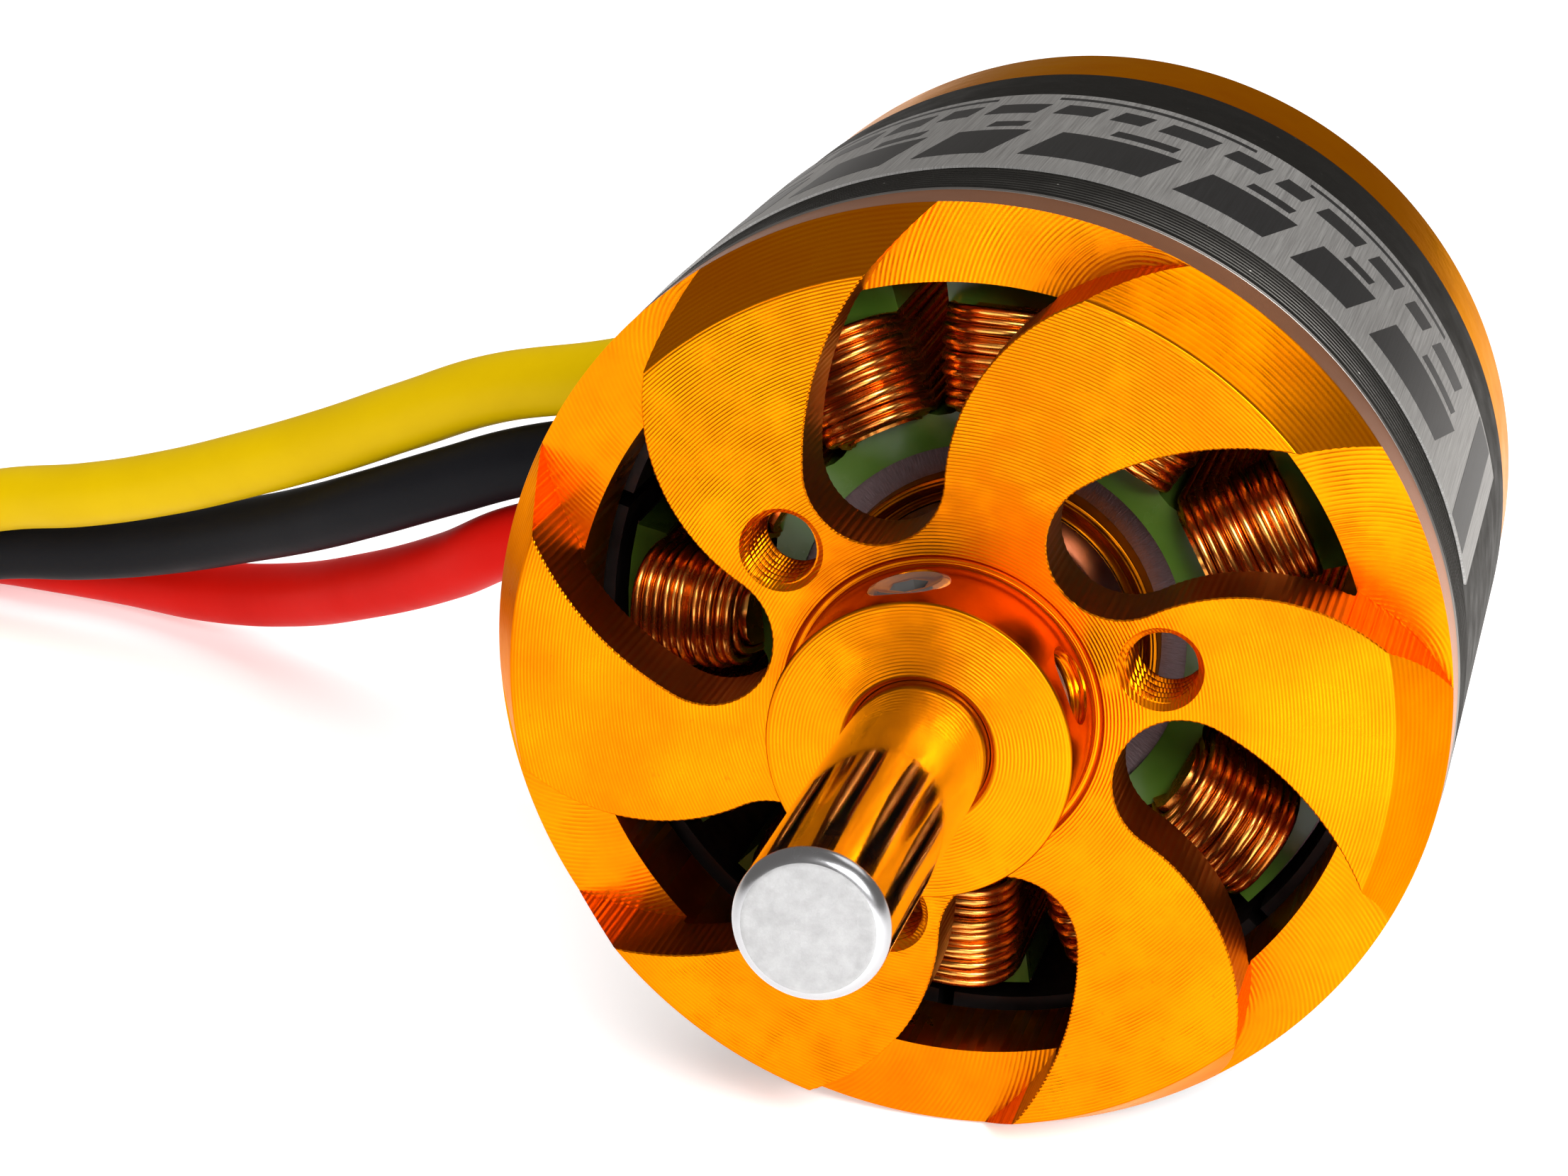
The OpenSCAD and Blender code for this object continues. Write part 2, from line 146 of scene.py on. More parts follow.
def studio():
    """Room light, five lamps and a bright paper floor, which the gold face mirrors."""
    scene = bpy.context.scene
    scene.view_settings.view_transform = "Standard"
    scene.view_settings.look = "None"
    world = bpy.data.worlds.new("room")
    scene.world = world
    world.use_nodes = True
    back = world.node_tree.nodes["Background"]
    back.inputs["Color"].default_value = (1.0, 0.96, 0.93, 1)
    back.inputs["Strength"].default_value = 0.28
    area_light("wash", (-0.05, 0.05, 0.8), (-0.05, 0.05, 0), 0.9, 5.3, in_reflections=False)
    # these two light the floor ahead of the motor, which its face mirrors
    area_light("key", (0.11, -0.21, 0.10), (0.005, -0.12, -0.0175), 0.08, 0.45)
    area_light("right_glow", (0.045, -0.125, 0.045), (0, -0.120, -0.0175), 0.03, 0.12, in_reflections=False)
    area_light("front_softbox", (0.12, -0.46, 0.27), (0, -0.03, 0), 0.14, 0.75)
    area_light("back_softbox", (0.21, 0.14, 0.35), (0, 0, 0), 0.24, 0.40)

    mesh = bpy.data.meshes.new("floor")
    wide = 3.0
    corners = [(x, y, FLOOR_Z) for x, y in ((-wide, -wide), (wide, -wide), (wide, wide), (-wide, wide))]
    mesh.from_pydata(corners, [], [(0, 1, 2, 3)])
    floor = bpy.data.objects.new("floor", mesh)
    scene.collection.objects.link(floor)
    paper = Graph("floor_paper")
    paper.set(Base_Color=(0.92, 0.92, 0.92, 1), Roughness=0.45)
    paper.set(Emission_Color=(1.0, 0.96, 0.95, 1), Emission_Strength=0.45)
    floor.data.materials.append(paper.material)


# ---- Materials -----------------------------------------------------------------

class Graph:
    """A material, with short names for the shader nodes that it is made of."""

    def __init__(self, name):
        self.material = bpy.data.materials.new(name)
        self.material.use_nodes = True
        self.tree = self.material.node_tree
        self.shader = self.tree.nodes["Principled BSDF"]

    def add(self, kind, **settings):
        """A new node with those settings."""
        node = self.tree.nodes.new(kind)
        for key, value in settings.items():
            setattr(node, key, value)
        return node

    def feed(self, socket, value):
        """Gives a socket a link or a constant."""
        if isinstance(value, bpy.types.NodeSocket):
            self.tree.links.new(value, socket)
        else:
            socket.default_value = value

    def math(self, operation, a, b=0.0, c=0.0):
        node = self.add("ShaderNodeMath", operation=operation)
        for socket, value in zip(node.inputs, (a, b, c)):
            self.feed(socket, value)
        return node.outputs[0]

    def place(self):
        """Object coordinates, in metres."""
        return self.add("ShaderNodeTexCoord").outputs["Object"]

    def xyz(self):
        node = self.add("ShaderNodeSeparateXYZ")
        self.feed(node.inputs[0], self.place())
        return node.outputs

    def vector(self, x, y, z):
        node = self.add("ShaderNodeCombineXYZ")
        for socket, value in zip(node.inputs, (x, y, z)):
            self.feed(socket, value)
        return node.outputs[0]

    def radius(self):
        """Distance from the shaft axis, in millimetres."""
        x, _, z = self.xyz()
        node = self.add("ShaderNodeVectorMath", operation="LENGTH")
        self.feed(node.inputs[0], self.vector(x, 0.0, z))
        return self.math("MULTIPLY", node.outputs["Value"], 1 / MM)

    def angle(self):
        """Angle about the shaft axis, in radians."""
        x, _, z = self.xyz()
        return self.math("ARCTAN2", z, x)

    def noise(self, vector, scale, detail=3.0, roughness=0.55):
        node = self.add("ShaderNodeTexNoise")
        self.feed(node.inputs["Vector"], vector)
        node.inputs["Scale"].default_value = scale
        node.inputs["Detail"].default_value = detail
        node.inputs["Roughness"].default_value = roughness
        return node.outputs["Fac"]

    def wave(self, value, pitch):
        """A sine of the value with that pitch."""
        return self.math("SINE", self.math("MULTIPLY", value, 2 * math.pi / pitch))

    def lines(self, pitch):
        """Rings round the motor, repeated along its axis with that pitch in millimetres."""
        _, y, _ = self.xyz()
        return self.wave(self.math("MULTIPLY", y, 1 / MM), pitch)

    def scale_to(self, value, low, high, out_low, out_high):
        """The value's range from low to high, stretched to the range from out_low to out_high."""
        node = self.add("ShaderNodeMapRange")
        self.feed(node.inputs["Value"], value)
        limits = {"From Min": low, "From Max": high, "To Min": out_low, "To Max": out_high}
        for key, number in limits.items():
            node.inputs[key].default_value = number
        return node.outputs["Result"]

    def mix(self, share, colour_a, colour_b):
        """Colour a at share 0, colour b at share 1."""
        node = self.add("ShaderNodeMix", data_type="RGBA")
        self.feed(node.inputs["Factor"], share)
        self.feed(node.inputs[6], colour_a)
        self.feed(node.inputs[7], colour_b)
        return node.outputs[2]

    def bump(self, height, distance, strength=1.0, under=None):
        """A normal from a height, laid over the normal under it. The distance is in metres."""
        node = self.add("ShaderNodeBump")
        node.inputs["Strength"].default_value = strength
        node.inputs["Distance"].default_value = distance
        self.feed(node.inputs["Height"], height)
        if under is not None:
            self.feed(node.inputs["Normal"], under)
        return node.outputs["Normal"]

    def set(self, **values):
        """Feeds the shader's own sockets, with _ for the spaces in their names."""
        for key, value in values.items():
            self.feed(self.shader.inputs[key.replace("_", " ")], value)


GOLD = (0.80, 0.240, 0.001, 1)
GOLD_DEEP = (0.70, 0.180, 0.001, 1)
GOLD_EDGE = (1.0, 0.58, 0.08, 1)
GOLD_GROOVE = (0.52, 0.09, 0.001, 1)
GOLD_FLECK = (0.30, 0.07, 0.002, 1)
# the dark brown that painted shade darkens the gold towards
GOLD_PAINTED_SHADE = (0.16, 0.05, 0.001, 1)


def gold(name, rough=0.30, shade=1.0):
    """Orange anodised aluminium with turning rings. A shade below 1 is painted shade: the colour is
    darkened by that much towards a dark brown.
    """
    g = Graph(name)
    ring_pitch = 0.125
    patches = g.noise(g.place(), 260.0, 5.0)
    specks = g.noise(g.place(), 2600.0, 2.0)
    tint = g.mix(g.scale_to(patches, 0.35, 0.7, 0.0, 1.0), GOLD, GOLD_DEEP)
    fleck = g.scale_to(specks, 0.70, 0.78, 0.0, 0.35)
    g.set(Roughness=g.scale_to(patches, 0.3, 0.7, rough - 0.05, rough + 0.07))
    grain = g.bump(g.noise(g.place(), 5000.0, 2.0), 0.000004, 0.5)
    strength = g.scale_to(g.noise(g.place(), 900.0, 3.0), 0.3, 0.7, 0.35, 1.0)
    rings = g.math("MULTIPLY", g.wave(g.radius(), ring_pitch), strength)
    g.set(Normal=g.bump(rings, 0.000007, 1.0, grain))
    tint = g.mix(g.scale_to(rings, -1.0, 1.0, 0.5, 0.0), tint, GOLD_GROOVE)
    # painted shade: a shade below 1 darkens the colour towards the dark brown
    tint = g.mix(1 - shade, tint, GOLD_PAINTED_SHADE)
    g.set(Base_Color=g.mix(fleck, tint, GOLD_FLECK), Metallic=1.0, Specular_Tint=GOLD_EDGE)
    tangent = g.add("ShaderNodeTangent", direction_type="RADIAL", axis="Y")
    g.set(Anisotropic=0.55, Tangent=tangent.outputs[0])
    return g.material


def gold_milled(name):
    """The pocket floors: crescent marks left by the milling cutter."""
    g = Graph(name)
    x, _, z = g.xyz()
    # the marks repeat for each of the six pockets: fold the angle into one of them
    turn = g.math("SUBTRACT", g.angle(), math.radians(POCKET_A))
    part = math.radians(60)
    folded = g.math("SUBTRACT", g.math("MODULO", g.math("ADD", turn, 20 * part), part), math.radians(45))
    radius = g.radius()
    centre, arc_pitch = (13.2, -6.5), 0.17
    du = g.math("SUBTRACT", g.math("MULTIPLY", radius, g.math("COSINE", folded)), centre[0])
    dv = g.math("SUBTRACT", g.math("MULTIPLY", radius, g.math("SINE", folded)), centre[1])
    away = g.math("SQRT", g.math("ADD", g.math("MULTIPLY", du, du), g.math("MULTIPLY", dv, dv)))
    wobble = g.math("MULTIPLY", g.noise(g.place(), 250.0, 2.0), 0.12)
    arcs = g.wave(g.math("ADD", away, wobble), arc_pitch)
    strength = g.scale_to(g.noise(g.place(), 500.0, 3.0), 0.35, 0.65, 0.1, 1.0)
    crescents = g.math("MULTIPLY", arcs, strength)
    marks = g.bump(crescents, 0.000005)
    patches = g.noise(g.place(), 400.0, 5.0)
    tint = g.mix(g.scale_to(patches, 0.35, 0.7, 0.0, 1.0), GOLD, GOLD_DEEP)
    tint = g.mix(g.scale_to(crescents, -1.0, 1.0, 0.4, 0.0), tint, (0.50, 0.08, 0.001, 1))
    g.set(Base_Color=tint, Metallic=1.0, Specular_Tint=GOLD_EDGE, Roughness=0.30)
    g.set(Normal=g.bump(g.noise(g.place(), 4000.0, 2.0), 0.000004, 0.6, marks))
    return g.material


def window_wall_painted_shade():
    """The walls of the windows, cut across the disc, and the hollow behind it: a darker gold that is
    painted shade for these recesses, with upright cutter marks.
    """
    g = Graph("gold_window_wall")
    patches = g.noise(g.place(), 700.0, 4.0)
    # two deep browns, far darker than the gold: painted shade
    g.set(Base_Color=g.mix(patches, (0.38, 0.085, 0.002, 1), (0.18, 0.028, 0.001, 1)), Metallic=1.0)
    x, _, z = g.xyz()
    upright = g.noise(g.vector(g.math("MULTIPLY", x, 1 / MM), 0.0, g.math("MULTIPLY", z, 1 / MM)), 5.0, 2.0)
    g.set(Roughness=0.38, Normal=g.bump(upright, 0.00004, 0.6))
    return g.material


def rim():
    """The outer wall of the disc: duller and paler than its front."""
    g = Graph("gold_rim")
    cloud = g.noise(g.place(), 500.0, 4.0)
    g.set(Base_Color=g.mix(cloud, (0.56, 0.20, 0.055, 1), (0.42, 0.135, 0.032, 1)), Metallic=1.0)
    under = g.bump(cloud, 0.00001, 0.5)
    g.set(Roughness=0.36, Normal=g.bump(g.lines(0.11), 0.000003, 1.0, under))
    return g.material


def steel(name, colour, rough, metal=1.0):
    """Bare or plated metal with a cloudy gloss."""
    g = Graph(name)
    cloud = g.noise(g.place(), 900.0, 4.0)
    dark = tuple(c * 0.8 for c in colour) + (1,)
    g.set(Base_Color=g.mix(cloud, colour + (1,), dark), Metallic=metal)
    g.set(Roughness=g.scale_to(cloud, 0.3, 0.7, rough * 0.8, rough * 1.25))
    g.set(Normal=g.bump(g.noise(g.place(), 3000.0, 3.0), 0.000003, 0.6))
    return g.material


def shaft_end_steel():
    """The sawn and tumbled end of the shaft: pale, mottled and dull."""
    g = Graph("shaft_end")
    mottle = g.noise(g.place(), 1500.0, 6.0, 0.7)
    share = g.scale_to(mottle, 0.35, 0.65, 0, 1)
    g.set(Base_Color=g.mix(share, (0.27, 0.27, 0.27, 1), (0.34, 0.34, 0.34, 1)))
    g.set(Metallic=0.75, Roughness=0.5, Normal=g.bump(mottle, 0.00004, 0.7))
    return g.material


def can_black():
    """Black coated steel with fine turning lines and a few pale specks."""
    g = Graph("can_black")
    cloud = g.noise(g.place(), 700.0, 4.0)
    specks = g.scale_to(g.noise(g.place(), 3500.0, 1.0), 0.76, 0.80, 0.0, 0.6)
    base = g.mix(cloud, (0.030, 0.029, 0.027, 1), (0.050, 0.047, 0.043, 1))
    g.set(Base_Color=g.mix(specks, base, (0.25, 0.24, 0.22, 1)), Metallic=0.9)
    g.set(Roughness=g.scale_to(cloud, 0.3, 0.7, 0.30, 0.44), Specular_Tint=(0.30, 0.29, 0.27, 1))
    g.set(Normal=g.bump(g.lines(0.12), 0.0000025, 1.0, g.bump(cloud, 0.00001, 0.5)))
    return g.material


def foil(name, light, dark, rough):
    """Brushed foil whose streaks run along the motor."""
    g = Graph(name)
    _, y, _ = g.xyz()
    streak_at = g.vector(g.math("MULTIPLY", g.angle(), 130.0), g.math("MULTIPLY", y, 90.0), 0.0)
    streaks = g.noise(streak_at, 2.0, 4.0, 0.7)
    g.set(Base_Color=g.mix(g.scale_to(streaks, 0.35, 0.65, 0, 1), light + (1,), dark + (1,)))
    g.set(Metallic=0.85, Roughness=rough, Normal=g.bump(streaks, 0.00001, 0.6))
    g.set(Specular_Tint=(0.45, 0.44, 0.42, 1))
    return g.material


def copper():
    """Enamelled winding wire."""
    g = Graph("copper_enamel")
    cloud = g.noise(g.place(), 1200.0, 4.0)
    share = g.scale_to(cloud, 0.35, 0.7, 0, 1)
    g.set(Base_Color=g.mix(share, (0.92, 0.42, 0.085, 1), (0.66, 0.22, 0.035, 1)), Metallic=1.0)
    g.set(Roughness=g.scale_to(cloud, 0.3, 0.7, 0.18, 0.32), Specular_Tint=(1.0, 0.52, 0.20, 1))
    g.set(Normal=g.bump(cloud, 0.00003, 0.35))
    return g.material


def epoxy():
    """The green coat on the ends of the core."""
    g = Graph("green_epoxy")
    cloud = g.noise(g.place(), 500.0, 4.0)
    g.set(Base_Color=g.mix(cloud, (0.030, 0.074, 0.005, 1), (0.052, 0.098, 0.013, 1)))
    g.set(Roughness=g.scale_to(cloud, 0.3, 0.7, 0.14, 0.28), Specular_IOR_Level=0.3)
    g.set(Normal=g.bump(g.noise(g.place(), 320.0, 2.0), 0.00012, 0.5))
    return g.material


def silicone(name, colour, shade, rough=0.42):
    """Soft rubber, or heat-shrink when it is rougher."""
    g = Graph(name)
    cloud = g.noise(g.place(), 160.0, 4.0)
    g.set(Base_Color=g.mix(cloud, colour + (1,), shade + (1,)))
    g.set(Roughness=g.scale_to(cloud, 0.3, 0.7, rough - 0.05, rough + 0.1))
    g.set(Normal=g.bump(g.noise(g.place(), 2200.0, 3.0), 0.00001, 0.5), Specular_IOR_Level=0.04)
    return g.material


def laminations():
    """Steel sheets on edge, with the bare end face brushed."""
    g = Graph("laminations")
    along = g.vector(g.math("MULTIPLY", g.angle(), 60.0), g.math("MULTIPLY", g.radius(), 1.5), 0.0)
    scratch = g.noise(along, 1.6, 4.0, 0.65)
    g.set(Base_Color=g.mix(scratch, (0.17, 0.125, 0.13, 1), (0.07, 0.05, 0.052, 1)), Metallic=1.0)
    g.set(Roughness=0.38, Normal=g.bump(g.lines(0.35), 0.00001, 0.8, g.bump(scratch, 0.00003, 0.8)))
    return g.material


# ---- Mesh helpers ----------------------------------------------------------------

def fillet(points, steps=4):
    """An outline whose corners are rounded: points are (r, z) or (r, z, corner radius)."""
    out = []
    count = len(points)
    for i, point in enumerate(points):
        here = Vector(point[:2])
        size = point[2] if len(point) > 2 else 0
        if not size:
            out.append(tuple(here))
            continue
        before = (Vector(points[i - 1][:2]) - here).normalized()
        after = (Vector(points[(i + 1) % count][:2]) - here).normalized()
        half = before.angle(after) / 2
        centre = here + (before + after).normalized() * size / math.sin(half)
        start = here + before * size / math.tan(half) - centre
        sweep = start.angle_signed(here + after * size / math.tan(half) - centre)
        for k in range(steps + 1):
            turn = Matrix.Rotation(-sweep * k / steps, 2)
            out.append(tuple(centre + turn @ start))
    return out


def mesh_object(name, verts, faces):
    """A new object whose faces all look outwards."""
    mesh = bpy.data.meshes.new(name)
    mesh.from_pydata(verts, [], faces)
    piece = bpy.data.objects.new(name, mesh)
    bpy.context.scene.collection.objects.link(piece)
    work = bmesh.new()
    work.from_mesh(mesh)
    bmesh.ops.recalc_face_normals(work, faces=work.faces)
    work.to_mesh(mesh)
    work.free()
    return piece


def lathe(name, profile, segments=256):
    """A solid of revolution about the motor axis. A profile from r 0 to r 0 is closed by poles."""
    poles = profile[0][0] == 0
    ring = profile[1:-1] if poles else profile
    count = len(ring)
    verts = []
    for i in range(segments):
        a = 2 * math.pi * i / segments
        verts += [(r * math.cos(a), r * math.sin(a), z) for r, z in ring]
    faces = []
    for i in range(segments):
        j = (i + 1) % segments
        for k in range(count - 1 if poles else count):
            m = (k + 1) % count
            faces.append((i * count + k, j * count + k, j * count + m, i * count + m))
    if poles:
        for end, k in ((profile[0], 0), (profile[-1], count - 1)):
            verts.append((0, 0, end[1]))
            pole = len(verts) - 1
            faces += [(pole, i * count + k, (i + 1) % segments * count + k) for i in range(segments)]
    return mesh_object(name, verts, faces)


def prism(name, outline, low, high, flare=0.0, flare_z=0.0):
    """An outline extruded from low to high; with flare, it widens by that much above flare_z."""
    levels = [(low, 0.0), (high, 0.0)]
    if flare:
        levels = [(low, 0.0), (flare_z - flare, 0.0), (flare_z + flare, 2 * flare), (high, 2 * flare)]
    count = len(outline)
    verts = []
    for z, grow in levels:
        for i, (x, y) in enumerate(outline):
            side = Vector(outline[(i + 3) % count]) - Vector(outline[i - 3])
            out = Vector((side.y, -side.x)).normalized() * grow
            if math.hypot(x, y) > CAN_R + 0.3:
                out = Vector((0, 0))
            verts.append((x + out.x, y + out.y, z))
    faces = []
    for level in range(len(levels) - 1):
        for i in range(count):
            a, b = level * count + i, level * count + (i + 1) % count
            faces.append((a, b, b + count, a + count))
    faces.append(tuple(range(count - 1, -1, -1)))
    faces.append(tuple(range((len(levels) - 1) * count, len(levels) * count)))
    return mesh_object(name, verts, faces)


def screw_cutter(name, major_r, depth, pitch, length, sides=40):
    """A round cutter with a thread on it, along +z from 0."""
    per_turn = 8
    rows = int(length / pitch * per_turn)
    verts = []
    for k in range(rows + 1):
        z = length * k / rows
        for i in range(sides):
            a = 2 * math.pi * i / sides
            phase = (z / pitch - i / sides) % 1.0
            bite = max(0.0, 1 - abs(phase - 0.5) / 0.40)
            r = major_r - depth * (1 - bite)
            verts.append((r * math.cos(a), r * math.sin(a), z))
    faces = []
    for k in range(rows):
        for i in range(sides):
            a, b = k * sides + i, k * sides + (i + 1) % sides
            faces.append((a, b, b + sides, a + sides))
    faces.append(tuple(range(sides - 1, -1, -1)))
    faces.append(tuple(range(rows * sides, (rows + 1) * sides)))
    return mesh_object(name, verts, faces)


def cylinder_cutter(name, r_low, r_high, low, high, sides=64):
    """A round cutter along z, or a cone when its two radii differ."""
    verts = [(r * math.cos(2 * math.pi * i / sides), r * math.sin(2 * math.pi * i / sides), z)
             for r, z in ((r_low, low), (r_high, high)) for i in range(sides)]
    faces = [(i, (i + 1) % sides, sides + (i + 1) % sides, sides + i) for i in range(sides)]
    faces += [tuple(range(sides - 1, -1, -1)), tuple(range(sides, 2 * sides))]
    return mesh_object(name, verts, faces)


def moved(piece, matrix):
    """The piece, with its mesh moved."""
    piece.data.transform(matrix)
    return piece


def about_z(degrees):
    """A turn about the shaft axis."""
    return Matrix.Rotation(math.radians(degrees), 4, "Z")


def join(name, objects):
    """One object from several, which are removed."""
    work = bmesh.new()
    for one in objects:
        work.from_mesh(one.data)
        bpy.data.meshes.remove(one.data)
    mesh = bpy.data.meshes.new(name)
    work.to_mesh(mesh)
    work.free()
    piece = bpy.data.objects.new(name, mesh)
    bpy.context.scene.collection.objects.link(piece)
    return piece


def bake_modifiers(piece):
    """The piece, with its modifiers applied."""
    depsgraph = bpy.context.evaluated_depsgraph_get()
    mesh = bpy.data.meshes.new_from_object(piece.evaluated_get(depsgraph))
    old = piece.data
    piece.modifiers.clear()
    piece.data = mesh
    mesh.name = piece.name
    bpy.data.meshes.remove(old)
    return piece


def cut(piece, cutters):
    """Takes the cutters, which are used up, out of the piece."""
    tool = join("tool", cutters)
    change = piece.modifiers.new("cut", "BOOLEAN")
    change.operation = "DIFFERENCE"
    change.solver = "MANIFOLD"
    change.object = tool
    bake_modifiers(piece)
    bpy.data.meshes.remove(tool.data)
    return piece


def settle(piece, body, materials, node=None, sharp=32, which=None):
    """Lays a finished piece into the world and finishes it."""
    piece.data.transform(LAY_DOWN)
    finish_piece(piece, body, materials, node, sharp, which)


def finish_piece(piece, body, materials, node=None, sharp=32, which=None):
    """Shades a piece and hands it to its body. which gives each face the number of its material."""
    mesh = piece.data
    mesh.materials.clear()
    for material in materials:
        mesh.materials.append(material)
    mesh.polygons.foreach_set("material_index", which or [0] * len(mesh.polygons))
    mesh.shade_smooth()
    mesh.set_sharp_from_angle(angle=math.radians(sharp))
    normals = piece.modifiers.new("normals", "WEIGHTED_NORMAL")
    normals.keep_sharp = True
    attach(piece, body)
    if node:
        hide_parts(node)


# ---- Leads -------------------------------------------------------------------------

YELLOW = [(-10, -6, 3.4), (-11.8, -4.3, 3.3), (-14, -2.4, 3.1), (-16.5, -1.8, 2.8), (-19.2, -1.8, 2.4),
          (-22.8, -1.9, 1.6), (-28.4, -0.7, 0.3), (-33.2, 0.9, -1.7), (-37.9, 2.7, -3.8),
          (-42.9, 4.5, -5.8), (-47.9, 6.3, -7.6), (-53.1, 8.1, -9.1), (-58.5, 10, -10.3),
          (-64.8, 10.9, -12), (-71, 10, -14), (-78, 8, -15.4), (-85, 5.5, -15.3)]
BLACK = [(-10, -6, 0), (-11.8, -4.3, -0.1), (-14, -2.4, -0.4), (-16.5, -1.8, -0.8), (-19.2, -1.8, -1.2),
         (-23, -1.9, -1.9), (-27.1, -1.4, -2.9), (-30.9, -0.2, -4.4), (-35.7, 2, -6.5),
         (-39.8, 4.4, -8.3), (-44, 6.8, -9.9), (-49.4, 9.3, -11.7), (-54.7, 11.2, -13),
         (-60.1, 12.8, -13.9), (-66, 13.8, -15.2), (-72, 14.4, -15.9), (-79, 15, -15.5),
         (-85, 15.4, -15.3)]
RED = [(-10, -6, -3.4), (-11.8, -4.3, -3.5), (-14, -2.4, -3.8), (-16.5, -1.8, -4.2), (-19.2, -1.8, -4.6),
       (-23, -1.9, -5.4), (-27.2, -1.3, -6.6), (-31.5, 1.2, -9), (-37.1, 5.2, -11.7), (-43, 9.4, -14),
       (-48.8, 12.8, -15.3), (-54.4, 15.2, -15.6), (-60.5, 16.6, -15.6), (-65.5, 18.4, -15.9),
       (-71.5, 21.2, -15.5), (-77, 24.2, -15.3)]
LEAD_R = 1.6


def lead(colour, route, material, shrink_material, plug_material):
    """One silicone lead along its route, with its heat-shrink and bullet plug."""
    points = [Vector(p) * MM for p in route]
    data = bpy.data.curves.new("lead_" + colour, "CURVE")
    data.dimensions = "3D"
    data.bevel_depth = LEAD_R * MM
    data.bevel_resolution = 10
    data.resolution_u = 16
    data.use_fill_caps = True
    spline = data.splines.new("BEZIER")
    spline.bezier_points.add(len(points) - 1)
    for knot, point in zip(spline.bezier_points, points):
        knot.co = point
        knot.handle_left_type = knot.handle_right_type = "AUTO"
    data.materials.append(material)
    wire = bpy.data.objects.new("lead_" + colour + "_silicone", data)
    bpy.context.scene.collection.objects.link(wire)
    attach(wire, "stator")
    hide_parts("lead_" + colour)

    along = (points[-1] - points[-2]).normalized()
    frame_at_end = Matrix.Translation(points[-1]) @ along.to_track_quat("Z", "Y").to_matrix().to_4x4()
    scale = Matrix.Scale(MM, 4)
    sleeve_profile = fillet([
        (1.64, -0.4), (1.78, -0.4, 0.1), (1.86, 0.8), (2.12, 1.6, 0.6), (2.18, 4.0), (2.16, 7.4),
        (2.12, 9.0, 0.12), (1.95, 9.0), (1.95, 1.4), (1.64, 0.9)])
    sleeve = lathe("shrink_" + colour, sleeve_profile, 48)
    sleeve.data.transform(frame_at_end @ scale)
    finish_piece(sleeve, "stator", [shrink_material], "heatshrink_" + colour)

    plug = bullet_plug("plug_" + colour)
    plug.data.transform(frame_at_end @ scale)
    finish_piece(plug, "stator", [plug_material], "bullet_" + colour)


def bullet_plug(name):
    """A 3.5 mm bullet: solder cup, neck and a sprung barrel with four slits."""
    body = lathe(name, fillet([(0, 1.1), (1.9, 1.1, 0.15), (1.9, 9.9, 0.2), (1.25, 9.9), (1.25, 10.5, 0.2),
                               (1.6, 10.6, 0.1), (1.74, 13.0, 1.0), (1.78, 15.5, 1.5), (1.6, 18.8, 0.5),
                               (1.45, 19.4, 0.1), (0.95, 20.6, 0.3), (0, 20.6)]), 64)
    slit = [(1.1, -0.12), (2.6, -0.12), (2.6, 0.12), (1.1, 0.12)]
    slits = [moved(prism("slit", slit, 11.4, 18.2), about_z(45 + 90 * k)) for k in range(4)]
    return cut(body, slits)


# ---- Turning pieces ------------------------------------------------------------------

def arc(centre, radius, start, end, step):
    """Points on an arc every step millimetres, angles in degrees."""
    count = max(2, int(abs(math.radians(end - start)) * radius / step))
    return [centre + radius * Vector((math.cos(math.radians(start + (end - start) * i / count)),
                                      math.sin(math.radians(start + (end - start) * i / count))))
            for i in range(count + 1)]


def polar(radius, degrees):
    """A point from its distance and its angle."""
    return Vector((math.cos(math.radians(degrees)), math.sin(math.radians(degrees)))) * radius


def heading(vector):
    """The angle of a flat vector, in degrees."""
    return math.degrees(math.atan2(vector.y, vector.x))


def pocket_outline():
    """A round inner end and two arcs that sweep to the rim, with the scallops that the cutter left."""
    end, end_r = Vector((8.85, 0)), 2.5
    long_c, short_c = polar(10.84, -51.1), polar(11.05, -59.1)
    long_r = (end - long_c).length + end_r
    short_r = (end - short_c).length - end_r
    beyond = CAN_R + 0.8

    def at_rim(centre, radius):
        turn = (beyond ** 2 - centre.length_squared - radius ** 2) / (2 * centre.length * radius)
        return heading(centre) + math.degrees(math.acos(turn))

    step = 0.045
    path = arc(long_c, long_r, at_rim(long_c, long_r), heading(end - long_c), step)
    path += arc(end, end_r, heading(end - long_c), heading(end - short_c) + 180, step)[1:]
    path += arc(short_c, short_r, heading(end - short_c), at_rim(short_c, short_r), step)[1:]
    pitch, depth = 0.28, 0.02
    travelled, out = 0.0, []
    for i, point in enumerate(path):
        before, after = path[max(i - 1, 0)], path[min(i + 1, len(path) - 1)]
        side = (after - before).normalized()
        travelled += (point - before).length
        bite = depth * (abs(math.sin(math.pi * travelled / pitch)) - 0.5)
        if point.length > CAN_R - 0.5:
            bite = 0
        out.append(tuple(point - Vector((-side.y, side.x)) * bite))
    return out


def grub_axis(degrees, radius):
    """Turns a piece's +z outwards along a grub screw, from that radius."""
    return (about_z(degrees) @ Matrix.Translation((radius, 0, GRUB_Z))
            @ Matrix.Rotation(math.pi / 2, 4, "Y"))


# The materials of the bell, in the order in which main() gives them; WALL and HUB are darker gold that is
# painted shade
TURNED, MILLED, WALL, RIM, HUB = range(5)


